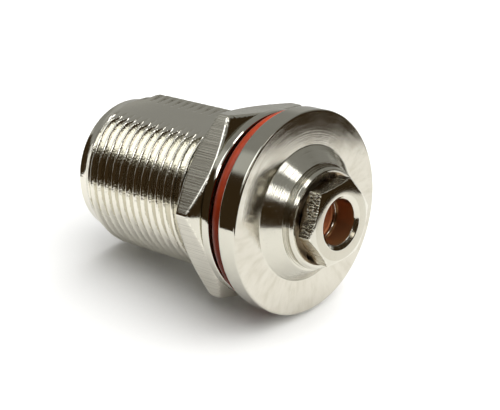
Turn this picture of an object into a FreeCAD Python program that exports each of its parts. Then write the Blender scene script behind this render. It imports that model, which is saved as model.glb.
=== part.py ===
"""Coaxial bulkhead jack with a screwed cable clamp, modelled lying along X.

The origin is the centre of the flange's panel face. The mating end points to -X, the cable
end to +X, and the flat milled along the barrel faces +Z. Lengths are in millimetres.
"""
import FreeCAD, Part
import os
import re
import sys

import Sketcher

NODE_FOLDER = "parts"

# Driving dimensions: name, value, what it measures.
SIZES = [
    ("barrel_length", "23.0", "panel face of the flange to the front end"),
    ("thread_d", "15.875", "barrel thread across its crests"),
    ("thread_pitch", "1.0583", "one crest of the barrel's thread to the next, 24 to the inch"),
    ("thread_end", "2.3", "panel face of the flange to the thread's last groove"),
    ("rim_step", "0.9375", "thread's crests down to the plain rim at the front end"),
    ("rim_length", "1.2", "plain rim along the axis"),
    ("rim_edge", "0.3", "bevel round the rim"),
    ("lead_angle", "30", "slope of the thread's lead-in against the axis, degrees"),
    ("flat_depth", "0.8375", "thread's crests down to the flat milled along the barrel"),
    ("flange_rim", "2.0625", "thread's crests out to the flange's edge"),
    ("flange_length", "2.1", "flange along the axis"),
    ("flange_edge", "0.22", "bevel on both edges of the flange"),
    ("boss_cone_length", "1.65", "tapered stretch of the boss"),
    ("boss_cone_angle", "45", "slope of that stretch against the axis, degrees"),
    ("boss_wall", "1.45", "wall of the turned step at the boss's end"),
    ("boss_ring_length", "0.45", "turned step along the axis"),
    ("boss_edge", "0.3", "bevel at the boss's end"),
    ("mating_bore_d", "8.1", "bore that takes the plug's outer contact"),
    ("mating_depth", "9.1", "front end to the reference plane in the bore"),
    ("mouth_edge", "0.3", "bevel round the mating bore's mouth"),
    ("conductor_bore_d", "7.0", "bore of the shell behind the reference plane"),
    ("insulator_set_back", "1.4", "reference plane to the front insulator"),
    ("front_insulator_length", "4.0", "front insulator along the axis"),
    ("clamp_thread_depth", "2.9", "depth of the boss's threaded hole"),
    ("seat_gap", "0.02", "clearance of a piece that sits in a bore or on a face"),
    ("running_gap", "0.02", "clearance between two faces that turn on each other"),
    ("contact_d", "3.04", "socket contact across"),
    ("contact_recess", "4.2", "front end of the shell to the contact's tip"),
    ("contact_edge", "0.25", "bevel on the contact's tip"),
    ("socket_d", "1.66", "hole that takes the plug's pin"),
    ("socket_depth", "4.6", "depth of that hole"),
    ("slot_width", "0.3", "slots that part the contact's four fingers"),
    ("slot_length", "4.0", "slots along the axis"),
    ("collar_rim", "0.38", "how far the collar that stops the contact stands out"),
    ("collar_length", "0.8", "collar along the axis"),
    ("tail_step", "0.32", "how far the tail is turned down"),
    ("tail_length", "4.0", "tail along the axis"),
    ("cup_wall", "0.6", "wall of the solder cup in the tail"),
    ("cup_depth", "3.0", "depth of the solder cup"),
    ("rear_insulator_length", "3.9", "rear insulator along the axis"),
    ("ferrule_cone_length", "2.4", "coned stretch of the braid clamp"),
    ("ferrule_step", "0.25", "full width of the braid clamp down to its cone"),
    ("ferrule_taper", "0.2", "how much of the radius the cone loses to its nose"),
    ("ferrule_bore_d", "3.0", "hole through the braid clamp"),
    ("cable_bore_d", "4.46", "cable bore of the clamp nut"),
    ("cable_mouth_rim", "0.41", "how much its bevelled mouth adds to the radius"),
    ("cable_mouth_length", "0.3", "bevelled mouth along the axis"),
    ("gasket_length", "2.46", "cable gasket along the axis"),
    ("gasket_wall", "0.65", "wall of the cable gasket"),
    ("gasket_gap", "0.1", "clearance at the radius round the gasket"),
    ("gasket_grip", "0.18", "how much smaller than the nut's bore the gasket's is, at the radius"),
    ("slip_washer_length", "0.35", "thickness of the slip washer"),
    ("clamp_head_rim", "0.25", "clamp thread's crests out to the hexagon's flats"),
    ("clamp_hex_length", "1.66", "hexagon of the clamp nut along the axis"),
    ("clamp_face_inset", "0.12", "flats in to the round face left by the clamp nut's chamfer"),
    ("clamp_chamfer_angle", "23", "slope of that chamfer against the face, degrees"),
    ("clamp_hex_turn", "28", "a corner of the clamp nut, degrees from +Z towards -Y"),
    ("clamp_hex_gap", "0.15", "boss's end to the hexagon as the nut is left"),
    ("clamp_shank_length", "2.7", "threaded shank of the clamp nut"),
    ("clamp_shank_wall", "0.65", "wall of the shank round its recess"),
    ("clamp_recess_depth", "1.8", "depth of that recess"),
    ("thread_gap", "0.05", "clearance at the radius between mated threads"),
    ("panel_gap", "2.07", "flange to washer, where the panel goes"),
    ("washer_inset", "0.75", "flange's edge in to the panel washer's"),
    ("washer_length", "0.86", "panel washer's thickness"),
    ("washer_bore_gap", "0.2", "clearance at the radius of the washer's hole"),
    ("nut_inset", "1.0", "flange's edge in to the panel nut's flats"),
    ("nut_length", "3.2", "panel nut along the axis"),
    ("nut_face_inset", "0.3", "flats in to the round face left by the panel nut's chamfer"),
    ("nut_chamfer_angle", "30", "slope of that chamfer against the face, degrees"),
    ("nut_bore_edge", "0.4", "bevel at both ends of the panel nut's thread"),
    ("nut_turn", "14.7", "a corner of the panel nut, degrees from +Z towards -Y"),
    ("seal_section_d", "1.6", "section of the panel seal"),
    ("seal_bore_gap", "0.06", "clearance at the radius between seal and barrel"),
]

# Places along X that several pieces share.
BOSS_END = "(flange_length + boss_cone_length + boss_ring_length + boss_edge)"
REFERENCE = "(mating_depth - barrel_length)"
SHOULDER = f"({REFERENCE} + insulator_set_back + front_insulator_length)"
FERRULE_FRONT = f"({SHOULDER} + rear_insulator_length)"
CLAMP_HEX = f"({BOSS_END} + clamp_hex_gap)"
RECESS_FLOOR = f"({CLAMP_HEX} - clamp_shank_length + clamp_recess_depth)"
SLIP_WASHER_FRONT = f"({RECESS_FLOOR} - running_gap - slip_washer_length)"
GASKET_FRONT = f"({SLIP_WASHER_FRONT} - running_gap - gasket_length)"
WASHER_FRONT = "(-panel_gap - washer_length)"

# The barrel's thread has the depth of a 60 degree thread and crests an eighth of the pitch wide.
# Its groove runs down to a sharp floor, without the narrow flat of the real one.
GROOVE_DEPTH = "(17 / 24 * sqrt(3) / 2 * thread_pitch)"

# Radii and widths that several pieces share.
RIM_R = "(thread_d / 2 - rim_step)"
FLANGE_R = "(thread_d / 2 + flange_rim)"
GASKET_BORE_R = "(cable_bore_d / 2 - gasket_grip)"
GASKET_R = f"({GASKET_BORE_R} + gasket_wall)"
REAR_BORE_R = f"({GASKET_R} + gasket_gap)"
RECESS_R = REAR_BORE_R
SHANK_R = f"({RECESS_R} + clamp_shank_wall)"
CLAMP_THREAD_R = f"({SHANK_R} + thread_gap)"
BOSS_RING_R = f"({CLAMP_THREAD_R} + boss_wall)"
COLLAR_R = "(contact_d / 2 + collar_rim)"
TAIL_R = "(contact_d / 2 - tail_step)"
CLAMP_WIDTH = f"(2 * {CLAMP_THREAD_R} + 2 * clamp_head_rim)"
NUT_WIDTH = f"(2 * {FLANGE_R} - 2 * nut_inset)"

document = FreeCAD.newDocument("BulkheadJack")


def make_sheet():
    """The spreadsheet: one row per driving dimension, with its alias."""
    sheet = document.addObject("Spreadsheet::Sheet", "Sizes")
    for row, (alias, value, meaning) in enumerate(SIZES, start=1):
        sheet.set(f"A{row}", alias)
        sheet.set(f"B{row}", value)
        sheet.setAlias(f"B{row}", alias)
        sheet.set(f"C{row}", meaning)
    document.recompute()
    return sheet


sheet = make_sheet()
alias_pattern = re.compile(r"\b(" + "|".join(alias for alias, _, _ in SIZES) + r")\b")


def on_sheet(text):
    """Expression text with each alias pointing at its cell."""
    return alias_pattern.sub(r"Sizes.\1", text)


def number(text):
    """Present value of an expression on the sheet."""
    value = sheet.evalExpression(on_sheet(text))
    return float(getattr(value, "Value", value))


def new_body(label, place="0"):
    """A body whose own origin lies on the X axis at the given place."""
    body = document.addObject("PartDesign::Body", label)
    body.Label = label
    body.setExpression("Placement.Base.x", on_sheet(place))
    return body


def new_sketch(body, name, role):
    """A sketch on one of the body's own origin planes."""
    sketch = body.newObject("Sketcher::SketchObject", name)
    plane = next(item for item in body.Origin.OriginFeatures if item.Role == role)
    sketch.AttachmentSupport = [(plane, "")]
    sketch.MapMode = "FlatFace"
    return sketch


def hold_vertex(sketch, edge, across, up):
    """Tie an edge's start to the sketch's origin by two expressions."""
    for kind, text, axis in (("DistanceX", across, -2), ("DistanceY", up, -1)):
        if text == "0":
            sketch.addConstraint(Sketcher.Constraint("PointOnObject", edge, 1, axis))
            continue
        index = sketch.addConstraint(Sketcher.Constraint(kind, -1, 1, edge, 1, number(text)))
        sketch.setExpression(f"Constraints[{index}]", on_sheet(text))


def add_outline(sketch, corners):
    """Closed outline of straight edges through corners given as pairs of expressions."""
    points = [FreeCAD.Vector(number(across), number(up), 0) for across, up in corners]
    first = sketch.GeometryCount
    for start, end in zip(points, points[1:] + points[:1]):
        sketch.addGeometry(Part.LineSegment(start, end), False)
    for offset, (across, up) in enumerate(corners):
        edge = first + offset
        following = first + (offset + 1) % len(corners)
        sketch.addConstraint(Sketcher.Constraint("Coincident", edge, 2, following, 1))
        hold_vertex(sketch, edge, across, up)


def add_circle(sketch, across, up, radius):
    """Circle whose centre and radius are expressions."""
    centre = FreeCAD.Vector(number(across), number(up), 0)
    circle = Part.Circle(centre, FreeCAD.Vector(0, 0, 1), number(radius))
    edge = sketch.addGeometry(circle, False)
    index = sketch.addConstraint(Sketcher.Constraint("Radius", edge, number(radius)))
    sketch.setExpression(f"Constraints[{index}]", on_sheet(radius))
    if across == up == "0":
        sketch.addConstraint(Sketcher.Constraint("Coincident", edge, 3, -1, 1))
        return
    for kind, text in (("DistanceX", across), ("DistanceY", up)):
        index = sketch.addConstraint(Sketcher.Constraint(kind, -1, 1, edge, 3, number(text)))
        sketch.setExpression(f"Constraints[{index}]", on_sheet(text))


def revolve(body, sketch):
    """Turn a sketch of the XZ plane about the X axis."""
    turning = body.newObject("PartDesign::Revolution", "Turning")
    turning.Profile = sketch
    turning.ReferenceAxis = (sketch, ["H_Axis"])
    turning.Angle = 360
    document.recompute()


def turned_body(label, stations, place="0"):
    """A lathe piece: its half section as (along X, radius) stations."""
    body = new_body(label, place)
    section = new_sketch(body, "Section", "XZ_Plane")
    add_outline(section, stations)
    revolve(body, section)
    return body


def cut(body, sketch, name, **settings):
    """Pocket that has to take some metal away."""
    before = body.Shape.Volume
    pocket = body.newObject("PartDesign::Pocket", name)
    pocket.Profile = sketch
    for setting, value in settings.items():
        setattr(pocket, setting, value)
    document.recompute()
    if body.Shape.Volume > before - 1e-6:
        raise ValueError(f"{body.Label}: {name} cuts nothing")
    return pocket


def cut_hexagon(body, width, turn):
    """Mill a turned piece to a hexagon of the given width across its flats."""
    sketch = new_sketch(body, "Hexagon", "YZ_Plane")
    corner = f"({width} / 2 / cos(30))"
    corners = []
    for side in range(6):
        angle = f"({turn} + {60 * side})"
        corners.append((f"-{corner} * sin{angle}", f"{corner} * cos{angle}"))
    add_outline(sketch, corners)
    add_circle(sketch, "0", "0", width)
    cut(body, sketch, "Flats", Type="ThroughAll", Midplane=True)


def hexagon_stations(width, face_inset, chamfer_angle, length):
    """Outer stations of a hexagon's turned blank, chamfered at both ends."""
    corner = f"{width} / 2 / cos(30)"
    face = f"{width} / 2 - {face_inset}"
    drop = f"({corner} - ({face})) * tan({chamfer_angle})"
    return [
        ("0", face),
        (drop, corner),
        (f"{length} - {drop}", corner),
        (length, face),
    ]


def cut_thread(body):
    """Wind a right-hand groove round the barrel, from before its lead-in to near the flange."""
    start = "(rim_length - barrel_length)"
    half_width = f"(7 / 16 * thread_pitch * (1 + thread_gap / {GROOVE_DEPTH}))"
    groove = new_sketch(body, "Groove", "XZ_Plane")
    add_outline(groove, [
        (f"{start} - {half_width}", "thread_d / 2 + thread_gap"),
        (start, f"thread_d / 2 - {GROOVE_DEPTH}"),
        (f"{start} + {half_width}", "thread_d / 2 + thread_gap"),
    ])
    before = body.Shape.Volume
    thread = body.newObject("PartDesign::SubtractiveHelix", "Thread")
    thread.Profile = groove
    thread.ReferenceAxis = (groove, ["H_Axis"])
    thread.Mode = "pitch-height-angle"
    thread.setExpression("Pitch", on_sheet("thread_pitch"))
    thread.setExpression("Height", on_sheet("barrel_length - rim_length - thread_end"))
    document.recompute()
    if body.Shape.Volume > before - 1e-6:
        raise ValueError(f"{body.Label}: the thread cuts nothing")


def make_jack_body():
    """Shell: rim, threaded barrel, flange and boss outside, stepped bore inside."""
    front = "-barrel_length"
    thread_start = f"{front} + rim_length + rim_step / tan(lead_angle)"
    boss_start = "flange_length + boss_cone_length"
    body = turned_body("jack_body", [
        (front, "mating_bore_d / 2 + mouth_edge"),
        (front, f"{RIM_R} - rim_edge"),
        (f"{front} + rim_edge", RIM_R),
        (f"{front} + rim_length", RIM_R),
        (thread_start, "thread_d / 2"),
        ("0", "thread_d / 2"),
        ("0", f"{FLANGE_R} - flange_edge"),
        ("flange_edge", FLANGE_R),
        ("flange_length - flange_edge", FLANGE_R),
        ("flange_length", f"{FLANGE_R} - flange_edge"),
        ("flange_length", f"{BOSS_RING_R} + boss_cone_length * tan(boss_cone_angle)"),
        (boss_start, BOSS_RING_R),
        (f"{boss_start} + boss_ring_length", BOSS_RING_R),
        (BOSS_END, f"{BOSS_RING_R} - boss_edge"),
        (BOSS_END, CLAMP_THREAD_R),
        (f"{BOSS_END} - clamp_thread_depth", CLAMP_THREAD_R),
        (f"{BOSS_END} - clamp_thread_depth", REAR_BORE_R),
        (SHOULDER, REAR_BORE_R),
        (SHOULDER, "conductor_bore_d / 2"),
        (REFERENCE, "conductor_bore_d / 2"),
        (REFERENCE, "mating_bore_d / 2"),
        (f"{front} + mouth_edge", "mating_bore_d / 2"),
    ])
    cut_thread(body)
    flat = new_sketch(body, "Flat", "YZ_Plane")
    add_outline(flat, [
        ("-thread_d / 2", "thread_d / 2 - flat_depth"),
        ("thread_d / 2", "thread_d / 2 - flat_depth"),
        ("thread_d / 2", FLANGE_R),
        ("-thread_d / 2", FLANGE_R),
    ])
    milled = cut(body, flat, "MilledFlat", Length=number("barrel_length"))
    milled.setExpression("Length", on_sheet("barrel_length"))


def make_centre_contact():
    """Socket contact: slotted fingers in front, collar, and a tail with its solder cup."""
    collar = f"({SHOULDER} - contact_recess + barrel_length)"
    tail_end = f"{collar} + collar_length + tail_length"
    body = turned_body("centre_contact", [
        ("0", "socket_d / 2"),
        ("0", "contact_d / 2 - contact_edge"),
        ("contact_edge", "contact_d / 2"),
        (collar, "contact_d / 2"),
        (collar, COLLAR_R),
        (f"{collar} + collar_length", COLLAR_R),
        (f"{collar} + collar_length", TAIL_R),
        (tail_end, TAIL_R),
        (tail_end, f"{TAIL_R} - cup_wall"),
        (f"{tail_end} - cup_depth", f"{TAIL_R} - cup_wall"),
        (f"{tail_end} - cup_depth", "0"),
        ("socket_depth", "0"),
        ("socket_depth", "socket_d / 2"),
    ], "contact_recess - barrel_length")
    slot = new_sketch(body, "Slot", "XZ_Plane")
    add_outline(slot, [
        ("-contact_edge", "-slot_width / 2"),
        ("slot_length", "-slot_width / 2"),
        ("slot_length", "slot_width / 2"),
        ("-contact_edge", "slot_width / 2"),
    ])
    first_slot = cut(body, slot, "SlotPair", Type="ThroughAll", Midplane=True)
    fingers = body.newObject("PartDesign::PolarPattern", "Fingers")
    fingers.Originals = [first_slot]
    along_axis = next(item for item in body.Origin.OriginFeatures if item.Role == "X_Axis")
    fingers.Axis = (along_axis, [""])
    fingers.Angle = 180
    fingers.Occurrences = 2
    body.Tip = fingers
    document.recompute()


def make_front_insulator():
    """Bead that carries the contact in the shell's wide bore."""
    turned_body("front_insulator", [
        ("0", "contact_d / 2 + seat_gap"),
        ("0", "conductor_bore_d / 2 - seat_gap"),
        ("front_insulator_length", "conductor_bore_d / 2 - seat_gap"),
        ("front_insulator_length", "contact_d / 2 + seat_gap"),
    ], f"{SHOULDER} - front_insulator_length")


def make_rear_insulator():
    """Bead behind the front one, counterbored for the contact's collar."""
    turned_body("rear_insulator", [
        ("0", f"{COLLAR_R} + seat_gap"),
        ("0", f"{REAR_BORE_R} - seat_gap"),
        ("rear_insulator_length", f"{REAR_BORE_R} - seat_gap"),
        ("rear_insulator_length", f"{TAIL_R} + seat_gap"),
        ("collar_length", f"{TAIL_R} + seat_gap"),
        ("collar_length", f"{COLLAR_R} + seat_gap"),
    ], SHOULDER)


def make_braid_clamp():
    """Ferrule with a wide land and a coned nose that faces the gasket."""
    outside = f"{REAR_BORE_R} - seat_gap"
    length = f"({GASKET_FRONT} - {FERRULE_FRONT})"
    turned_body("braid_clamp", [
        ("0", "ferrule_bore_d / 2"),
        ("0", outside),
        (f"{length} - ferrule_cone_length", outside),
        (f"{length} - ferrule_cone_length", f"{outside} - ferrule_step"),
        (length, f"{outside} - ferrule_step - ferrule_taper"),
        (length, "ferrule_bore_d / 2"),
    ], FERRULE_FRONT)


def make_cable_gasket():
    """Rubber sleeve that fills the space from the braid clamp to the slip washer."""
    turned_body("cable_gasket", [
        ("0", GASKET_BORE_R),
        ("0", GASKET_R),
        ("gasket_length", GASKET_R),
        ("gasket_length", GASKET_BORE_R),
    ], GASKET_FRONT)


def make_slip_washer():
    """Thin washer on the floor of the clamp nut's recess."""
    turned_body("slip_washer", [
        ("0", "cable_bore_d / 2 + seat_gap"),
        ("0", f"{RECESS_R} - thread_gap"),
        ("slip_washer_length", f"{RECESS_R} - thread_gap"),
        ("slip_washer_length", "cable_bore_d / 2 + seat_gap"),
    ], SLIP_WASHER_FRONT)


def make_clamp_nut():
    """Small hexagon with a hollow shank: the cable passes through its bore."""
    outside = hexagon_stations(
        CLAMP_WIDTH, "clamp_face_inset", "clamp_chamfer_angle", "clamp_hex_length"
    )
    body = turned_body("clamp_nut", [
        ("clamp_recess_depth - clamp_shank_length", "cable_bore_d / 2"),
        ("clamp_recess_depth - clamp_shank_length", RECESS_R),
        ("-clamp_shank_length", RECESS_R),
        ("-clamp_shank_length", SHANK_R),
        ("0", SHANK_R),
        *outside,
        ("clamp_hex_length", "cable_bore_d / 2 + cable_mouth_rim"),
        ("clamp_hex_length - cable_mouth_length", "cable_bore_d / 2"),
    ], CLAMP_HEX)
    cut_hexagon(body, CLAMP_WIDTH, "clamp_hex_turn")


def make_panel_nut():
    """Large hexagon nut, its plain bore standing at the thread's crests."""
    bore = "(thread_d / 2 + thread_gap)"
    outside = hexagon_stations(NUT_WIDTH, "nut_face_inset", "nut_chamfer_angle", "nut_length")
    body = turned_body("panel_nut", [
        ("0", f"{bore} + nut_bore_edge"),
        *outside,
        ("nut_length", f"{bore} + nut_bore_edge"),
        ("nut_length - nut_bore_edge", bore),
        ("nut_bore_edge", bore),
    ], f"{WASHER_FRONT} - running_gap - nut_length")
    cut_hexagon(body, NUT_WIDTH, "nut_turn")


def make_panel_washer():
    """Flat ring between the panel nut and the panel."""
    turned_body("panel_washer", [
        ("0", "thread_d / 2 + washer_bore_gap"),
        ("0", f"{FLANGE_R} - washer_inset"),
        ("washer_length", f"{FLANGE_R} - washer_inset"),
        ("washer_length", "thread_d / 2 + washer_bore_gap"),
    ], WASHER_FRONT)


def make_panel_seal():
    """Ring of round section against the flange's panel face."""
    body = new_body("panel_seal", "-seal_section_d / 2 - seat_gap")
    section = new_sketch(body, "Section", "XZ_Plane")
    ring_radius = "thread_d / 2 + seal_bore_gap + seal_section_d / 2"
    centre = FreeCAD.Vector(0, number(ring_radius), 0)
    circle = Part.Circle(centre, FreeCAD.Vector(0, 0, 1), number("seal_section_d / 2"))
    edge = section.addGeometry(circle, False)
    section.addConstraint(Sketcher.Constraint("PointOnObject", edge, 3, -2))
    radius = section.addConstraint(Sketcher.Constraint("Radius", edge, number("seal_section_d / 2")))
    section.setExpression(f"Constraints[{radius}]", on_sheet("seal_section_d / 2"))
    height = section.addConstraint(Sketcher.Constraint("DistanceY", -1, 1, edge, 3, number(ring_radius)))
    section.setExpression(f"Constraints[{height}]", on_sheet(ring_radius))
    revolve(body, section)


def write_nodes():
    """Check the whole document, then write one STEP file per piece."""
    document.recompute()
    failed = [item.Label for item in document.Objects if {"Invalid", "Error"} & set(item.State)]
    bodies = [item for item in document.Objects if item.TypeId == "PartDesign::Body"]
    for body in bodies:
        if body.Shape.isNull() or not body.Shape.isValid() or not body.Shape.Solids:
            failed.append(body.Label)
    if failed:
        sys.exit("failed: " + ", ".join(failed))
    os.makedirs(NODE_FOLDER, exist_ok=True)
    for body in bodies:
        body.Shape.exportStep(os.path.join(NODE_FOLDER, body.Label + ".step"))
        box = body.Shape.BoundBox
        print(f"{body.Label}: {body.Shape.Volume:.2f} mm3, X {box.XMin:.3f} to {box.XMax:.3f}")


make_jack_body()
make_front_insulator()
make_centre_contact()
make_rear_insulator()
make_braid_clamp()
make_cable_gasket()
make_slip_washer()
make_clamp_nut()
make_panel_seal()
make_panel_washer()
make_panel_nut()
write_nodes()
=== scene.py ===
# %% [markdown]
# # A coaxial bulkhead jack in nickel plate
#
# The part is a turned brass shell with a threaded barrel, a flange and a boss. A large nut, a
# washer and a red seal ring sit on the barrel, and a small nut closes the cable clamp in the
# boss. Every piece is small and shiny, so this lesson is mostly about two things: real edges and
# threads in the meshes, and surroundings that a mirror-like metal can reflect. Six skins are
# built here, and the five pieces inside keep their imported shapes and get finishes.

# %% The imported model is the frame
import math

import bpy
import numpy as np
from mathutils import Matrix, Vector


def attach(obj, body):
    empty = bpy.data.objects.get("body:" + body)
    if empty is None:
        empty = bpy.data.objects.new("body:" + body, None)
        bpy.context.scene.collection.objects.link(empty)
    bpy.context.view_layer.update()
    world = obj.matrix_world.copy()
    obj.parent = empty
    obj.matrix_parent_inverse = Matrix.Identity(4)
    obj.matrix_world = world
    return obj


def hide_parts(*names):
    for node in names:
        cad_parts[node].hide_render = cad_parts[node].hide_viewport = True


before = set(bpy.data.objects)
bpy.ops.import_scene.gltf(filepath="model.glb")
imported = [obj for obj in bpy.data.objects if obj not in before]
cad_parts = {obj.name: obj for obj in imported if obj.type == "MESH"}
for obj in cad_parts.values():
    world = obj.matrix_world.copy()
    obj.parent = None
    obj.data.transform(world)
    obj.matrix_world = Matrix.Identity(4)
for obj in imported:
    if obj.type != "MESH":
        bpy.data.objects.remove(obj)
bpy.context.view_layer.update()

MM = 0.001

# %% [markdown]
# The jack lies along X with its cable end at +X. The camera looks at the cable end from the
# right and above, through a long lens, so the round forms stay nearly free of perspective. Its
# place and turn were worked out from the thread's known size in the photograph.

# %% The camera
CAMERA_PLACE = Vector((90.93, -92.28, 62.58)) * MM
CAMERA_RIGHT = Vector((0.7292, 0.6714, -0.1320)).normalized()
CAMERA_BACK = Vector((0.6526, -0.6244, 0.4292)).normalized()
FOCAL_LENGTH = 108.0

camera = bpy.data.objects.new("camera", bpy.data.cameras.new("camera"))
camera.data.lens = FOCAL_LENGTH
camera.data.sensor_width = 36.0
camera.data.clip_start = 0.01
camera.data.clip_end = 10.0
camera_up = CAMERA_BACK.cross(CAMERA_RIGHT).normalized()
turn = Matrix((CAMERA_RIGHT, camera_up, CAMERA_BACK)).transposed()
camera.matrix_world = Matrix.Translation(CAMERA_PLACE) @ turn.to_4x4()
bpy.context.scene.collection.objects.link(camera)
bpy.context.scene.camera = camera
bpy.context.scene.view_settings.view_transform = "Standard"
print("camera is", round(CAMERA_PLACE.length / MM), "mm from the flange")

# %% [markdown]
# All the turned pieces are skins: rows of points that run round the X axis, each row at its own
# place along the profile. A row may have a different radius at each angle, which is how a thread,
# a hexagon or a milled flat comes out of the same function as a plain ring. The rows close on
# themselves, so a skin is one closed surface with no caps.

# %% A closed skin of rows round the X axis
def even_angles(count):
    """Angles once round, from +Z towards -Y."""
    return np.linspace(0, 2 * math.pi, count, endpoint=False)


def skin(name, rows, angles, finishes, row_finish=None, sharp_degrees=32):
    """Closed mesh from rows of (place along X, radius or radii) in millimetres.

    row_finish numbers the finish of each row's faces, or of each face in the row.
    """
    count, columns = len(rows), len(angles)
    points = np.empty((count, columns, 3))
    for index, (along, radius) in enumerate(rows):
        points[index, :, 0] = along
        points[index, :, 1] = -np.sin(angles) * radius
        points[index, :, 2] = np.cos(angles) * radius
    row = np.arange(count)[:, None]
    column = np.arange(columns)[None, :]
    next_row, next_column = (row + 1) % count, (column + 1) % columns
    faces = np.stack([
        row * columns + column,
        row * columns + next_column,
        next_row * columns + next_column,
        next_row * columns + column,
    ], axis=-1).reshape(-1, 4)
    mesh = bpy.data.meshes.new(name)
    mesh.from_pydata((points.reshape(-1, 3) * MM).tolist(), [], faces.tolist())
    for finish in finishes:
        mesh.materials.append(finish)
    if row_finish is not None:
        numbers = [np.broadcast_to(finish, columns) for finish in row_finish]
        mesh.polygons.foreach_set("material_index", np.concatenate(numbers))
    mesh.polygons.foreach_set("use_smooth", np.ones(len(faces), dtype=bool))
    mesh.set_sharp_from_angle(angle=math.radians(sharp_degrees))
    mesh.validate()
    piece = bpy.data.objects.new(name, mesh)
    bpy.context.scene.collection.objects.link(piece)
    print(f"{name}: {len(faces)} faces")
    return piece


LONGEST_ARC_SHARE = 0.45


def rounded(corners, radius=0.08, steps=3, open_ends=False):
    """Profile with each corner replaced by a small arc. Corners are (x, r) or (x, r, own radius).

    One more point just beyond each end of an arc keeps the straight parts flat in the shading.
    With open ends, the first and the last corner only say where the profile comes from and goes.
    """
    profile = []
    count = len(corners)
    for index, corner in enumerate(corners):
        here = np.array(corner[:2], dtype=float)
        before = np.array(corners[index - 1][:2], dtype=float) - here
        after = np.array(corners[(index + 1) % count][:2], dtype=float) - here
        room = LONGEST_ARC_SHARE * min(np.linalg.norm(before), np.linalg.norm(after))
        reach = min(corner[2] if len(corner) > 2 else radius, room)
        to_before, to_after = before / np.linalg.norm(before), after / np.linalg.norm(after)
        start, end = here + to_before * reach, here + to_after * reach
        beyond = min(0.03, room * 0.1)
        profile.append(tuple(start + to_before * beyond))
        for share in np.linspace(0, 1, steps + 1):
            point = (1 - share) ** 2 * start + 2 * share * (1 - share) * here + share ** 2 * end
            profile.append((point[0], point[1]))
        profile.append(tuple(end + to_after * beyond))
    per_corner = steps + 3
    return profile[per_corner:-per_corner] if open_ends else profile


# %% [markdown]
# Shader sums are easier to read as sums. The class below wraps one socket, and arithmetic on it
# adds the Math nodes. Every other node comes from `Recipe.node`, which first applies a node's
# settings and then fills its sockets with numbers, colours or other sockets.

# %% Sockets that can be added and multiplied
class Value:
    """One output socket. Arithmetic on it adds Math nodes to the same tree."""

    def __init__(self, recipe, socket):
        self.recipe = recipe
        self.socket = socket

    def math(self, operation, other, reflected=False):
        """This value and another in a Math node. Reflected, the other one comes first."""
        values = {0: other, 1: self} if reflected else {0: self, 1: other}
        return self.recipe.node("ShaderNodeMath", {"operation": operation}, values)

    def __add__(self, other):
        return self.math("ADD", other)

    __radd__ = __add__

    def __sub__(self, other):
        return self.math("SUBTRACT", other)

    def __rsub__(self, other):
        return self.math("SUBTRACT", other, reflected=True)

    def __mul__(self, other):
        return self.math("MULTIPLY", other)

    __rmul__ = __mul__

    def __truediv__(self, other):
        return self.math("DIVIDE", other)

    def __rtruediv__(self, other):
        return self.math("DIVIDE", other, reflected=True)

    def __pow__(self, other):
        return self.math("POWER", other)

    def __rpow__(self, other):
        return self.math("POWER", other, reflected=True)

    def between(self, low, high):
        """0 below low, 1 above high, smooth in between."""
        settings = {"interpolation_type": "SMOOTHSTEP", "clamp": True}
        return self.recipe.node("ShaderNodeMapRange", settings, {0: self, 1: low, 2: high})


class Recipe:
    """A node tree that is built up by calls of node()."""

    def __init__(self, tree, name):
        self.tree = tree
        self.name = name
        tree.nodes.clear()

    def node(self, kind, settings=None, values=None, output=0):
        """Add a node: its settings first, then its sockets. Returns one output as a Value."""
        made = self.tree.nodes.new(kind)
        for setting, value in (settings or {}).items():
            setattr(made, setting, value)
        for key, value in (values or {}).items():
            if isinstance(value, Value):
                self.tree.links.new(value.socket, made.inputs[key])
            else:
                made.inputs[key].default_value = value
        return Value(self, made.outputs[output]) if made.outputs else made

    def place(self):
        """The surface point in millimetres, as one vector and as three numbers."""
        point = self.node("ShaderNodeTexCoord", output="Object")
        to_mm = {0: point, "Scale": 1 / MM}
        scaled = self.node("ShaderNodeVectorMath", {"operation": "SCALE"}, to_mm)
        split = [
            self.node("ShaderNodeSeparateXYZ", None, {0: scaled}, output=axis) for axis in range(3)
        ]
        return scaled, split

    def noise(self, vector, scale, detail=2.0, stretch=(1, 1, 1)):
        """Noise between 0 and 1, with the space stretched along each axis first."""
        moved = self.node("ShaderNodeMapping", None, {"Vector": vector, "Scale": stretch})
        values = {"Vector": moved, "Scale": scale, "Detail": detail}
        return self.node("ShaderNodeTexNoise", None, values)

    def lines(self, number, scale, detail=3.0):
        """Noise along one number only, which makes lines across it."""
        values = {"W": number, "Scale": scale, "Detail": detail}
        return self.node("ShaderNodeTexNoise", {"noise_dimensions": "1D"}, values)

    def blend(self, factor, first, second):
        """Mix of two colours. Sockets 6 and 7 and output 2 are the colour ones of the node."""
        values = {"Factor": factor, 6: first, 7: second}
        return self.node("ShaderNodeMix", {"data_type": "RGBA"}, values, output=2)

    def bump(self, height, depth_mm=1.0):
        """Normal from a height, where 1 stands for so many millimetres."""
        values = {"Height": height, "Distance": depth_mm * MM}
        return self.node("ShaderNodeBump", None, values)


def new_finish(name):
    """A material and the recipe of its node tree."""
    material = bpy.data.materials.new(name)
    material.use_nodes = True
    return material, Recipe(material.node_tree, name)


def close_finish(recipe, values):
    """End a recipe in a Principled shader."""
    shader = recipe.node("ShaderNodeBsdfPrincipled", None, values)
    recipe.node("ShaderNodeOutputMaterial", None, {"Surface": shader})
    nodes = len(recipe.tree.nodes)
    print(f"{recipe.name}: {nodes} nodes")


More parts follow.
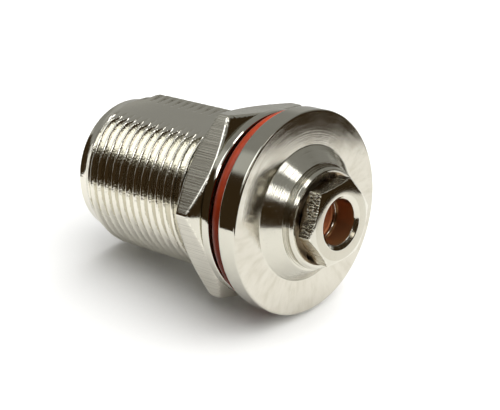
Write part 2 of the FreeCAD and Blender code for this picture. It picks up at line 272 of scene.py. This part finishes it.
# %% [markdown]
# Nickel plate is a slightly warm mirror. What tells one surface from another is the way it was
# cut: a lathe leaves fine rings, a milling cutter leaves straight strokes, and handling leaves
# small scratches and dull spots. So one function makes all the nickel, and each call names the
# direction and the depth of its lines. Rings some thousandths of a millimetre deep smear a far
# lamp outwards over the face, and leave a near edge sharp.

# %% Nickel plate
NICKEL = (0.71, 0.685, 0.60, 1.0)
NICKEL_DULL = (0.62, 0.59, 0.51, 1.0)
TURNED_COLOURS = ((0.59, 0.57, 0.495, 1.0), (0.51, 0.49, 0.42, 1.0))
FACE_COLOURS = ((0.58, 0.555, 0.485, 1.0), (0.46, 0.425, 0.35, 1.0))
END_COLOURS = ((0.51, 0.485, 0.41, 1.0), (0.45, 0.42, 0.345, 1.0))
# Painted shade: a dark brown nickel for faces in crevices and recesses between parts.
PAINTED_SHADE_COLOURS = ((0.26, 0.20, 0.13, 1.0), (0.17, 0.12, 0.07, 1.0))
# Painted shade and a painted reflection of the red gasket: the brown of the clamp nut's bore.
BORE_SHADE_COLOURS = ((0.36, 0.18, 0.075, 1.0), (0.28, 0.13, 0.05, 1.0))
SCORE_COLOUR = (0.16, 0.13, 0.09, 1.0)
STAIN_DEPTH = 0.004


def nickel(name, lines_along, line_depth, roughness=0.09, line_scale=7.0, streak=0.08,
           colours=(NICKEL, NICKEL_DULL), waves=0.0, scored=0.0, chatter=0.0, spokes=0.0, metal=1.0,
           fine_share=0.4):
    """Plated metal whose tool marks run across the number that lines_along gives.

    Depths are in millimetres. Streak is what the marks do to the roughness, waves are a slow
    swell of the whole surface, and scored is how dark the deepest marks are. Chatter is a ripple
    that crosses the tool marks of a turned barrel, and spokes are faint stains that run outwards
    over a face.
    """
    material, recipe = new_finish(name)
    point, (x, y, z) = recipe.place()
    radius = (y * y + z * z) ** 0.5
    across = lines_along(x, y, z, radius)
    marks = recipe.lines(across, line_scale)
    fine = recipe.lines(across, line_scale * 4.1)
    cloud = recipe.noise(point, 0.45, 3.0)
    specks = recipe.noise(point, 9.0, 2.0).between(0.68, 0.78)
    scores = recipe.lines(across, line_scale * 1.9, 1.0).between(0.56, 0.66) * scored
    swell = recipe.noise(point, 0.8, 2.0) * waves
    ripple = recipe.noise(point, 5.0, 2.0, stretch=(0.35, 1, 1)) * chatter
    outwards = {0: y / radius * 9.0, 1: z / radius * 9.0, 2: radius * 0.35}
    stains = recipe.noise(recipe.node("ShaderNodeCombineXYZ", None, outwards), 1.7, 3.0)
    height = marks * (1 - fine_share) + fine * fine_share - specks * 0.5
    rough = cloud.between(0.35, 0.7) * 0.05 + marks * streak + roughness - streak / 2
    dull = cloud.between(0.3, 0.8) * 0.35 + specks * 0.4 + stains.between(0.42, 0.72) * spokes
    colour = recipe.blend(dull, *colours)
    colour = recipe.blend(scores, colour, SCORE_COLOUR)
    relief = height * line_depth + swell + ripple + stains * spokes * STAIN_DEPTH
    close_finish(recipe, {
        "Base Color": colour,
        "Metallic": metal,
        "Roughness": rough,
        "Normal": recipe.bump(relief),
    })
    return material


def along_axis(x, y, z, radius):
    """Rings round a cylinder."""
    return x


def along_face(x, y, z, radius):
    """Rings on a face, a cone or a cylinder alike."""
    return x - radius * 1.3


def round_axis(at_radius):
    """Strokes along the axis of a piece whose sides lie at this radius."""
    return lambda x, y, z, radius: y.math("ARCTAN2", z) * at_radius


thread_nickel = nickel(
    "nickel_thread", along_axis, 0.0045, roughness=0.05, streak=0.03, chatter=0.012,
)
turned_nickel = nickel(
    "nickel_turned", along_face, 0.0010, roughness=0.05, streak=0.04, colours=TURNED_COLOURS,
)
boss_nickel = nickel(
    "nickel_boss", along_face, 0.0160, roughness=0.10, line_scale=5.0, streak=0.06,
    colours=TURNED_COLOURS, waves=0.006, chatter=0.0035, fine_share=0.1,
)
face_nickel = nickel(
    "nickel_face", along_face, 0.0034, roughness=0.08, colours=FACE_COLOURS, waves=0.004,
    spokes=0.45,
)
milled_nickel = nickel("nickel_milled", along_axis, 0.0003, roughness=0.07, streak=0.03)
# Painted shade on the flange's face behind the seal, the washer's face towards it and the boss's
# hollow end.
shaded_nickel = nickel(
    "nickel_painted_shade", along_face, 0.0030, roughness=0.26, colours=PAINTED_SHADE_COLOURS,
)
end_nickel = nickel(
    "nickel_end", along_face, 0.0016, roughness=0.12, colours=END_COLOURS, spokes=0.15,
)
plain_nickel = nickel("nickel_plain", along_axis, 0.0006, roughness=0.10)

# %% [markdown]
# The barrel carries a real 60 degree thread, cut as a right-hand helix, and one milled flat that
# runs the whole way to the flange and stops the jack from turning in its panel. Both are heights
# over the same skin: at every point the metal stands at the lowest of the thread, the lead-in
# cone and the flat. Eighteen rows a turn are enough for flanks that look straight.

# %% The shell's outer rows
CREST = 7.9375
PITCH = 1.0583
GROOVE_DEPTH_SHARE = 17 / 24 * math.sqrt(3) / 2
FLOOR_HALF_WIDTH, CREST_GAP_HALF_WIDTH = 1 / 12, 7 / 16
EASED_SHARE = 0.2
RUN_OUT_TURNS = 0.12
FRONT_END = -23.0
RIM_END = -21.8
RIM_RADIUS = 7.0
LEAD_SLOPE = math.tan(math.radians(30))
ROWS_A_TURN = 18
THREAD_END = -2.3
FLAT_HEIGHT = 7.1
BESIDE_FLAT = 99.0
THREAD, TURNED, FACE, BOSS, MILLED, ENTRY = range(6)


def groove(along, angles, start, end, pitch):
    """How far a right-hand groove lies below the crests at a place along X, for every angle.

    The corners at crest and floor are eased a little, and the groove fades out at its end.
    """
    turns = (along - start) / pitch - angles / (2 * math.pi)
    nearest = np.round(turns)
    from_middle = np.abs(turns - nearest)
    flank = CREST_GAP_HALF_WIDTH - FLOOR_HALF_WIDTH
    share = np.clip((CREST_GAP_HALF_WIDTH - from_middle) / flank, 0, 1)
    share = (1 - EASED_SHARE) * share + EASED_SHARE * share * share * (3 - 2 * share)
    last_turn = (end - start) / pitch
    run_out = np.clip((last_turn - nearest - angles / (2 * math.pi)) / RUN_OUT_TURNS, 0, 1)
    return GROOVE_DEPTH_SHARE * pitch * share * run_out


def shell_angles():
    """Angles round the barrel, closer where the milled flat's edges cross the thread."""
    edge = np.radians(np.arange(12, 34, 0.7))
    rest = np.radians(np.arange(34, 326.5, 2.4))
    middle = np.radians(np.arange(-12, 12, 3.0))
    angles = np.concatenate([middle, edge, rest, 2 * math.pi - edge[::-1]])
    return np.unique(np.round(np.mod(angles, 2 * math.pi), 6))


angles = shell_angles()
upward = np.cos(angles)
flat_radius = np.where(upward > 0.3, FLAT_HEIGHT / np.maximum(upward, 0.3), BESIDE_FLAT)
rim = rounded([
    (FRONT_END, 4.35),
    (FRONT_END, RIM_RADIUS - 0.3),
    (FRONT_END + 0.3, RIM_RADIUS),
    (RIM_END, RIM_RADIUS),
], 0.06, open_ends=True)
outer_rows = [(x, np.full(len(angles), r)) for x, r in rim]
row_finish = [THREAD] * len(outer_rows)
for along in np.arange(RIM_END, THREAD_END + PITCH / 2, PITCH / ROWS_A_TURN):
    cone = RIM_RADIUS + (along - RIM_END) * LEAD_SLOPE
    cut = groove(along, angles, RIM_END, THREAD_END, PITCH)
    turned = np.minimum(CREST - cut, cone)
    outer_rows.append((along, np.minimum(turned, flat_radius)))
    milled = turned > flat_radius
    row_finish.append(np.where(milled & np.roll(milled, -1), MILLED, THREAD))
outer_rows.append((0.0, np.minimum(CREST, flat_radius)))
# The flange's front face behind the seal gets painted shade.
row_finish.append(ENTRY)
print("rows along the barrel:", len(outer_rows), "columns:", len(angles))

# %% [markdown]
# Behind the thread come the flange and the boss, then the bores on the way back to the front. The
# corners are broken by small arcs, because an edge with no width never catches the light, and on
# this part the bright lines along the edges are most of what the eye reads. The flange's face is
# turned a hair hollow, five hundredths of a millimetre towards the boss, and that moves the small
# nut's mirror image outwards to where it shows as a dark patch. The boss ends in three shallow
# steps and a narrow raised ring.

# %% The shell's flange, boss and bores
FLANGE_RADIUS = 10.0
FLANGE_BACK = 2.1
BOSS_END = 4.5
BOSS_HOLE, BEAD_BORE, MATING_BORE = 3.5, 2.8, 4.05
FACE_FROM, BOSS_FROM = 6.7, 4.5
behind_thread = rounded([
    (0.0, CREST - 0.4),
    (0.0, FLANGE_RADIUS, 0.15),
    (FLANGE_BACK, FLANGE_RADIUS, 0.20),
    (FLANGE_BACK - 0.02, 8.2, 0.8),
    (FLANGE_BACK - 0.05, 6.62, 0.05),
    (3.58, 5.24, 0.03),
    (3.60, 5.06, 0.02),
    (3.74, 5.06, 0.03),
    (3.76, 4.95, 0.02),
    (3.94, 4.95, 0.03),
    (3.96, 4.85, 0.02),
    (4.02, 4.85, 0.02),
    (4.06, 4.96, 0.03),
    (4.22, 4.95, 0.04),
    (BOSS_END, 4.70, 0.05),
    (BOSS_END, 4.48, 0.03),
    (4.16, BOSS_HOLE, 0.04),
    (1.6, BOSS_HOLE, 0.04),
    (1.6, BEAD_BORE, 0.04),
    (-8.5, BEAD_BORE, 0.04),
    (-8.5, BOSS_HOLE, 0.04),
    (-13.9, BOSS_HOLE, 0.04),
    (-13.9, MATING_BORE, 0.04),
    (FRONT_END + 0.3, MATING_BORE, 0.10),
    (FRONT_END, MATING_BORE + 0.3, 0.06),
    (FRONT_END, RIM_RADIUS - 0.3),
], open_ends=True)
inner_rows = [(x, np.full(len(angles), r)) for x, r in behind_thread]
rows = outer_rows + inner_rows
for along, radius in behind_thread:
    if along > 2.0 and radius > FACE_FROM:
        row_finish.append(FACE)
    elif along > 2.0 and radius > BOSS_FROM:
        row_finish.append(BOSS)
    # The hollow in the boss's end gets painted shade.
    elif along > 4.1:
        row_finish.append(ENTRY)
    else:
        row_finish.append(TURNED)
shell_finishes = [
    thread_nickel, turned_nickel, face_nickel, boss_nickel, milled_nickel, shaded_nickel,
]
shell = skin("shell", rows, angles, shell_finishes, row_finish, sharp_degrees=70)
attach(shell, "jack")
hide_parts("jack_body")

# %% [markdown]
# A hexagon nut is also a height over a skin: at each angle the metal stands at the lower of the
# flat's distance and the chamfer's cone. A soft minimum of the two rounds every edge by a few
# hundredths of a millimetre, which is what tumbling and plating do to a real nut. The columns
# crowd towards the six corners, where the form changes fastest.

# %% Hexagons with soft edges
SIDE, CUT = 0, 1


def soft_minimum(first, second, width):
    """Lower of two numbers, with the corner between them rounded off."""
    share = np.clip(0.5 + 0.5 * (second - first) / width, 0, 1)
    return second * (1 - share) + first * share - width * share * (1 - share)


def hexagon_radius(angles, across_flats, turn_degrees, width):
    """Distance from the axis to a hexagon's side at every angle."""
    step = math.pi / 3
    from_flat = np.mod(angles - math.radians(turn_degrees), step) - step / 2
    side = across_flats / 2 / np.cos(from_flat)
    beside = across_flats / 2 / np.cos(step - np.abs(from_flat))
    return soft_minimum(side, beside, width)


def hexagon_angles(turn_degrees, per_side=30):
    """Angles that crowd towards the hexagon's corners."""
    share = np.linspace(0, 1, per_side, endpoint=False)
    crowded = share - np.sin(2 * math.pi * share) / (2 * math.pi) * 0.75
    sides = [np.radians(turn_degrees + 60 * (side + crowded)) for side in range(6)]
    return np.concatenate(sides)


def hexagon_rows(angles, start, length, across_flats, turn, start_r, end_r, slope_degrees, edge):
    """Outer rows of a hexagon chamfered at both ends, and where each row is cut by a chamfer.

    The rows crowd towards both ends, where the chamfers curve across the sides.
    """
    sides = hexagon_radius(angles, across_flats, turn, edge)
    slope = math.tan(math.radians(90 - slope_degrees))
    steps = np.linspace(0, 1, 15) ** 1.5
    first = steps * length / 2
    places = np.concatenate([first, length - first[-2::-1]])
    rows, chamfered = [], []
    for place in places:
        cone = min(start_r + place * slope, end_r + (length - place) * slope)
        rows.append((start + place, soft_minimum(sides, np.full(len(angles), cone), edge * 0.7)))
        chamfered.append(np.where(cone < sides, CUT, SIDE))
    chamfered[-1][:] = CUT
    return rows, chamfered


# %% [markdown]
# The panel nut pulls the flange against the panel. It is a slice of hexagon bar with a chamfer on
# both faces and a thread in its bore, and its sides keep the strokes of the drawn bar, some of
# them scored dark. The strokes run along the axis, so their number is the angle round it.

# %% The panel nut
NUT_START = -6.15
NUT_LENGTH = 3.2
NUT_END = NUT_START + NUT_LENGTH
NUT_TURN = 14.7
NUT_BORE = 8.0
NUT_BORE_MOUTH = 8.45
INNER_THREAD_SHARE = 0.8
NUT_ACROSS_FLATS = 18.0
NUT_FACE_RADIUS = 8.7
nut_side_nickel = nickel(
    "nickel_nut_side", round_axis(9.0), 0.012, roughness=0.10, line_scale=6.0, streak=0.08,
    scored=0.36,
)
nut_angles = hexagon_angles(NUT_TURN)
nut_outer, nut_chamfered = hexagon_rows(
    nut_angles, NUT_START, NUT_LENGTH, NUT_ACROSS_FLATS, NUT_TURN,
    start_r=NUT_FACE_RADIUS, end_r=NUT_FACE_RADIUS, slope_degrees=30, edge=0.20,
)
nut_inner = []
for along in np.linspace(NUT_END, NUT_START, 55):
    from_end = min(along - NUT_START, NUT_END - along)
    cut = groove(along, nut_angles, NUT_START, 0.0, PITCH) * INNER_THREAD_SHARE
    nut_inner.append((along, np.maximum(NUT_BORE + cut, NUT_BORE_MOUTH - from_end)))
nut_rows = nut_outer + nut_inner
nut_finish = nut_chamfered + [CUT] * len(nut_inner)
nut_finishes = [nut_side_nickel, turned_nickel]
panel_nut = skin("panel_nut_skin", nut_rows, nut_angles, nut_finishes, nut_finish)
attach(panel_nut, "nut")
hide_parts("panel_nut")

# %% [markdown]
# A flat washer lies between nut and panel. It is stamped from sheet, so its rear edge is rolled
# over more than its front edge. The face towards the seal is painted dark brown: painted shade of
# the narrow crevice between the washer and the seal.

# %% The panel washer
WASHER_FRONT, WASHER_REAR = -2.93, -2.07
WASHER_HOLE, WASHER_RADIUS = 8.14, 9.25
washer_rows = rounded([
    (WASHER_FRONT, WASHER_HOLE),
    (WASHER_FRONT, WASHER_RADIUS, 0.12),
    (WASHER_REAR, WASHER_RADIUS, 0.25),
    (WASHER_REAR, WASHER_HOLE),
], 0.06)
# The washer's face towards the seal gets painted shade.
washer_finish = [int(x > WASHER_REAR - 0.005) for x, r in washer_rows]
washer_finishes = [turned_nickel, shaded_nickel]
washer = skin(
    "panel_washer_skin", washer_rows, even_angles(144), washer_finishes, washer_finish,
)
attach(washer, "washer")
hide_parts("panel_washer")

# %% [markdown]
# The seal is a moulded ring of red silicone. Its mould leaves a hair-thin line round the outside,
# and the rubber is satin with a faint mottle.

# %% Red silicone
def silicone(name, colour, dark):
    """Moulded rubber with a satin surface."""
    material, recipe = new_finish(name)
    point, _ = recipe.place()
    mottle = recipe.noise(point, 1.3, 4.0)
    grain = recipe.noise(point, 14.0, 2.0)
    close_finish(recipe, {
        "Base Color": recipe.blend(mottle.between(0.3, 0.75), colour, dark),
        "Roughness": grain * 0.12 + 0.30,
        "Specular IOR Level": 0.22,
        "Normal": recipe.bump(grain, 0.004),
    })
    return material


red_silicone = silicone("silicone_red", (0.46, 0.050, 0.010, 1), (0.37, 0.038, 0.008, 1))
# Painted light: the gasket is the same red silicone as the seal, painted lighter and more orange so
# that it shows coppery deep in the bore.
lit_gasket_silicone = silicone("silicone_red_painted_light", (0.70, 0.27, 0.12, 1), (0.54, 0.19, 0.08, 1))

# %% The seal ring
SEAL_PLACE, SEAL_RADIUS = -0.82, 8.80
SEAL_HALF_LENGTH, SEAL_HALF_HEIGHT = 0.8, 0.78
MOULD_LINE = 0.02
section = []
for turn_angle in np.linspace(0, 2 * math.pi, 28, endpoint=False):
    mould_line = MOULD_LINE if abs(turn_angle - math.pi / 2) < 0.05 else 0.0
    section.append((
        SEAL_PLACE - SEAL_HALF_LENGTH * math.cos(turn_angle),
        SEAL_RADIUS + (SEAL_HALF_HEIGHT + mould_line) * math.sin(turn_angle),
    ))
seal = skin("seal_ring", section, even_angles(160), [red_silicone])
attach(seal, "jack")
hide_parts("panel_seal")

# %% [markdown]
# The clamp nut is the small hexagon at the cable end. Its shank carries a fine thread that screws
# into the boss, its bore lets the cable through, and a recess in the shank presses a thin washer
# on the rubber gasket. The thread comes into view when the nut is screwed out.

# %% The clamp nut's hexagon
CLAMP_TURN = 28.0
CLAMP_START = 4.65
CLAMP_LENGTH = 1.66
CLAMP_END = CLAMP_START + CLAMP_LENGTH
CLAMP_ACROSS_FLATS = 7.5
# The cable's bore is painted brown and partly matt: painted shade and a painted reflection of the
# red gasket.
bore_shaded_nickel = nickel(
    "nickel_bore_painted_shade", along_axis, 0.0003, roughness=0.30, colours=BORE_SHADE_COLOURS, metal=0.7,
)
clamp_side_nickel = nickel(
    "nickel_clamp_side", round_axis(4.0), 0.012, roughness=0.08, line_scale=4.0, streak=0.12,
    scored=0.5, chatter=0.09,
)
clamp_angles = hexagon_angles(CLAMP_TURN)
clamp_outer, clamp_chamfered = hexagon_rows(
    clamp_angles, CLAMP_START, CLAMP_LENGTH, CLAMP_ACROSS_FLATS, CLAMP_TURN,
    start_r=4.12, end_r=3.63, slope_degrees=23, edge=0.07,
)
print("clamp nut's hexagon runs from", CLAMP_START, "to", round(CLAMP_END, 2), "mm")

# %% The clamp nut's bore and threaded shank
CABLE_BORE = 2.23
RELIEF, RECESS = 2.40, 2.8
SHANK_START, SHANK_NOSE = 1.95, 3.0
SHANK_CREST = 3.45
SHANK_PITCH = 0.75
BORE, END, MOUTH = 2, 3, 4
clamp_finishes = [clamp_side_nickel, turned_nickel, bore_shaded_nickel, end_nickel, boss_nickel]
clamp_inner = rounded([
    (CLAMP_END, 3.6),
    (CLAMP_END, 2.64, 0.06),
    (CLAMP_END - 0.3, CABLE_BORE, 0.05),
    (4.05, CABLE_BORE, 0.03),
    (4.02, RELIEF, 0.03),
    (3.75, RELIEF, 0.03),
    (3.75, RECESS, 0.03),
    (SHANK_START, RECESS, 0.04),
    (SHANK_START, SHANK_NOSE, 0.04),
    (2.2, SHANK_NOSE),
], open_ends=True)
shank = []
for along in np.arange(1.99, 4.62, SHANK_PITCH / ROWS_A_TURN):
    cut = groove(along, clamp_angles, SHANK_START, 4.3, SHANK_PITCH)
    nose = SHANK_NOSE + (along - SHANK_START)
    shank.append((along, np.minimum(SHANK_CREST - cut, nose)))
clamp_finish = list(clamp_chamfered)
clamp_finish[-1] = END
for x, r in clamp_inner:
    # Faces down the cable's bore get the brown painted shade.
    if r < 2.5 and x < 6.0:
        clamp_finish.append(BORE)
    elif r < 2.7 and x > 6.0:
        clamp_finish.append(MOUTH)
    else:
        clamp_finish.append(CUT)
clamp_finish += [CUT] * len(shank)
clamp_rows = clamp_outer + clamp_inner + shank
clamp_nut = skin("clamp_nut_skin", clamp_rows, clamp_angles, clamp_finishes, clamp_finish)
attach(clamp_nut, "clamp")
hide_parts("clamp_nut")

# %% [markdown]
# The slip washer lies in the recess of the shank. It keeps the turning nut from twisting the
# gasket, and its bright inner edge shows as a thin ring down the cable's bore.

# %% The slip washer
SLIP_FRONT, SLIP_REAR = 3.38, 3.73
SLIP_HOLE, SLIP_RADIUS = 2.18, 2.75
slip_rows = rounded([
    (SLIP_FRONT, SLIP_HOLE),
    (SLIP_FRONT, SLIP_RADIUS),
    (SLIP_REAR, SLIP_RADIUS),
    (SLIP_REAR, SLIP_HOLE),
], 0.05)
slip = skin("slip_washer_skin", slip_rows, even_angles(96), [plain_nickel])
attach(slip, "slip_ring")
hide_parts("slip_washer")

# %% [markdown]
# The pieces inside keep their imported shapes, because their turned forms are already exact and
# most of them are hidden. The contact is plated with gold so that it never tarnishes, and the two
# beads that hold it are turned from a white, waxy plastic. Both keep fine rings from the lathe.

# %% Gold plate and white plastic
GOLD, GOLD_DEEP = (0.86, 0.60, 0.22, 1), (0.76, 0.50, 0.16, 1)
WHITE, WHITE_DULL = (0.86, 0.85, 0.80, 1), (0.78, 0.77, 0.71, 1)

gold, recipe = new_finish("gold_plate")
point, (x, y, z) = recipe.place()
rings = recipe.lines(x, 9.0)
worn = recipe.noise(point, 0.8).between(0.3, 0.8)
close_finish(recipe, {
    "Base Color": recipe.blend(worn, GOLD, GOLD_DEEP),
    "Metallic": 1.0,
    "Roughness": rings * 0.08 + 0.12,
    "Normal": recipe.bump(rings, 0.001),
})
bead, recipe = new_finish("white_bead")
point, (x, y, z) = recipe.place()
rings = recipe.lines(x - (y * y + z * z) ** 0.5, 5.0)
mottle = recipe.noise(point, 0.6).between(0.3, 0.8)
close_finish(recipe, {
    "Base Color": recipe.blend(mottle, WHITE, WHITE_DULL),
    "Roughness": rings * 0.15 + 0.38,
    "Normal": recipe.bump(rings, 0.004),
})

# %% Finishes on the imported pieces
packed_finishes = {
    "centre_contact": gold,
    "front_insulator": bead,
    "rear_insulator": bead,
    "braid_clamp": plain_nickel,
    # The gasket gets the lighter, painted-light copy of the red silicone.
    "cable_gasket": lit_gasket_silicone,
}
for node, finish in packed_finishes.items():
    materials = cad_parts[node].data.materials
    for slot_index in range(len(materials)):
        materials[slot_index] = finish
print("packed pieces with new finishes:", ", ".join(packed_finishes))

# %% [markdown]
# The floor is a plain pale sheet that touches the lowest corner of the panel nut. The part lies
# slightly nose-down on it, so the sheet is tilted a little against the part's own axes. It is
# hidden from rays that have left a matt surface, so the seal isn't lit from below.

# %% The floor
FLOOR_UP = Vector((0.101, 0.0853, 0.9912)).normalized()
FLOOR_DROP = 10.35 * MM
FLOOR_HALF = 1.2
floor_material, recipe = new_finish("pale_sheet")
point, _ = recipe.place()
grain = recipe.noise(point, 2.0, 4.0)
close_finish(recipe, {
    "Base Color": recipe.blend(grain, (0.86, 0.86, 0.85, 1), (0.84, 0.84, 0.83, 1)),
    "Roughness": 0.75,
    "Specular IOR Level": 0.2,
})
floor_mesh = bpy.data.meshes.new("floor")
signs = ((-1, -1), (1, -1), (1, 1), (-1, 1))
floor_corners = [(across * FLOOR_HALF, along * FLOOR_HALF, 0) for across, along in signs]
floor_mesh.from_pydata(floor_corners, [], [(0, 1, 2, 3)])
floor_mesh.materials.append(floor_material)
floor = bpy.data.objects.new("floor", floor_mesh)
floor.rotation_mode = "QUATERNION"
floor.rotation_quaternion = FLOOR_UP.to_track_quat("Z", "Y")
floor.location = -FLOOR_UP * FLOOR_DROP
bpy.context.scene.collection.objects.link(floor)
floor.visible_diffuse = False
print("the floor lies", round(FLOOR_DROP / MM, 2), "mm under the middle of the flange's face")

# %% [markdown]
# Metal shows its surroundings, so the light is built as a small studio: a pale ceiling, a dark
# front half of the room near the horizon, and soft boxes where the photograph's streaks come
# from. Directions are given as degrees to the left of the camera and above the floor. A box is
# given by the brightness that a mirror would show, and it only shows in reflections.

# %% Soft boxes round the part
toward_camera = (CAMERA_BACK - FLOOR_UP * CAMERA_BACK.dot(FLOOR_UP)).normalized()
camera_left = toward_camera.cross(FLOOR_UP).normalized()
if camera_left.dot(CAMERA_RIGHT) > 0:
    camera_left = -camera_left


def direction(left_degrees, up_degrees):
    """Unit vector that points so far left of the camera and so far up."""
    left, up = math.radians(left_degrees), math.radians(up_degrees)
    level = toward_camera * math.cos(left) + camera_left * math.sin(left)
    return level * math.cos(up) + FLOOR_UP * math.sin(up)


BOX_DISTANCE = 0.6


def soft_box(name, left, up, width, height, brightness, colour=(1, 1, 1)):
    """Rectangular lamp that faces the part. Its brightness is what the metal sees in it."""
    lamp = bpy.data.lights.new(name, "AREA")
    lamp.shape = "RECTANGLE"
    lamp.size, lamp.size_y = width, height
    lamp.energy = brightness * math.pi * width * height
    lamp.color = colour
    holder = bpy.data.objects.new(name, lamp)
    away = direction(left, up)
    holder.location = away * BOX_DISTANCE
    holder.rotation_mode = "QUATERNION"
    holder.rotation_quaternion = away.to_track_quat("Z", "Y")
    holder.visible_camera = False
    holder.visible_diffuse = False
    bpy.context.scene.collection.objects.link(holder)
    print(f"{name}: {width:.2f} by {height:.2f} m at {left} degrees left and {up} up")


soft_box("box_front", -18, 36, 0.14, 0.12, 5.0)
soft_box("box_right", -57, 57, 0.15, 0.14, 3.8)
soft_box("box_left", 74, 55, 0.34, 0.38, 2.5, colour=(0.93, 0.96, 1.0))
soft_box("box_low", -46, 28, 0.12, 0.09, 1.6, colour=(1.0, 0.94, 0.83))

# %% [markdown]
# The sheet under the part is small in the metal's eyes: low walls stand round it, which only
# reflections can see. Five brown strips run round the front and the sides and make the dark bands
# on the barrel and the flange, and the far strip is grey. The right-hand strip stands close by,
# because the flange's face mirrors its top as the edge of a dark band.

# %% Low walls that only the metal sees
WALL_HEIGHT = 34.0
WALL_BROWN = (0.043, 0.027, 0.012, 1)
WALL_GREY = (0.42, 0.42, 0.40, 1)


def low_wall(name, from_corner, to_corner, colour):
    """Glowing strip on the floor between two places, each (to the left, to the front) in mm."""
    feet = []
    for to_left, to_front in (from_corner, to_corner):
        feet.append((camera_left * to_left + toward_camera * to_front) * MM - FLOOR_UP * FLOOR_DROP)
    rise = FLOOR_UP * WALL_HEIGHT * MM
    corners = [feet[0], feet[1], feet[1] + rise, feet[0] + rise]
    mesh = bpy.data.meshes.new(name)
    mesh.from_pydata([tuple(corner) for corner in corners], [], [(0, 1, 2, 3)])
    material, recipe = new_finish(name)
    glow = recipe.node("ShaderNodeEmission", None, {"Color": colour, "Strength": 1.0})
    recipe.node("ShaderNodeOutputMaterial", None, {"Surface": glow})
    mesh.materials.append(material)
    wall = bpy.data.objects.new(name, mesh)
    bpy.context.scene.collection.objects.link(wall)
    for kind in ("visible_camera", "visible_diffuse", "visible_shadow"):
        setattr(wall, kind, False)


SHEET_CORNERS = [(58, -33), (58, 25), (150, 110), (70, 95), (-58.5, 80), (-58.5, -33)]
for index, corner in enumerate(SHEET_CORNERS[:-1]):
    low_wall(f"low_wall_{index + 1}", corner, SHEET_CORNERS[index + 1], WALL_BROWN)
low_wall("low_wall_far", (-66, -66), (58, -66), WALL_GREY)
print("strips round the sheet:", len(SHEET_CORNERS))

# %% [markdown]
# The room is painted straight onto the world by direction. Reflections see a grey room with a
# dark front near the horizon, a paler far end and a faint glow at the left. Rays that have left a
# matt surface see a sky of their own, bright above, to the right and beyond the socket, so that
# the rubber and the floor can be lit without changing what the nickel mirrors. The camera sees
# plain white, like the paper that a small part is photographed on.

# %% The room behind the lamps
world = bpy.data.worlds.new("studio")
bpy.context.scene.world = world
world.use_nodes = True
recipe = Recipe(world.node_tree, "studio")
ray = recipe.node("ShaderNodeTexCoord", output="Generated")
ROOM_GREY, FAR_GREY = (0.31, 0.31, 0.295, 1), (0.44, 0.44, 0.42, 1)
GLOW_GREY = (0.58, 0.59, 0.57, 1)
SKY_LOW, SKY_HIGH = (0.02, 0.016, 0.012, 1), (2.80, 2.80, 2.79, 1)
PAPER_WHITE = (1.0, 1.0, 1.0, 1)


def facing(vector):
    """Cosine between the ray and a fixed direction."""
    settings = {"operation": "DOT_PRODUCT"}
    values = {0: ray, 1: tuple(vector)}
    return recipe.node("ShaderNodeVectorMath", settings, values, output="Value")


height = facing(FLOOR_UP)
front = facing(toward_camera)
left = facing(camera_left)
to_right = left.math("MINIMUM", 0.0)
low = 1 - (height + to_right * 0.16).between(0.49, 0.54)
dark_share = low * front.between(-0.42, -0.22)
behind = (1 - front.between(-0.98, -0.80)) * (1 - height.between(0.10, 0.35))
glow = facing(direction(104, 37)).between(0.955, 0.99)
grey = recipe.blend(behind, ROOM_GREY, FAR_GREY)
lit = recipe.blend(glow, grey, GLOW_GREY)
room = recipe.blend(dark_share, lit, WALL_BROWN)
on_diffuse = recipe.node("ShaderNodeLightPath", output="Is Diffuse Ray")
on_camera = recipe.node("ShaderNodeLightPath", output="Is Camera Ray")
along_part = facing((-1, 0, 0)).between(0.82, 0.96) * 0.7
overhead = (height - left * 0.8).between(0.30, 0.95).math("MAXIMUM", along_part)
soft = recipe.blend(overhead, SKY_LOW, SKY_HIGH)
for_diffuse = recipe.blend(on_diffuse, room, soft)
backdrop = recipe.blend(on_camera, for_diffuse, PAPER_WHITE)
background = recipe.node("ShaderNodeBackground", None, {"Color": backdrop, "Strength": 1.0})
recipe.node("ShaderNodeOutputWorld", None, {"Surface": background})
print("the room:", len(world.node_tree.nodes), "nodes")
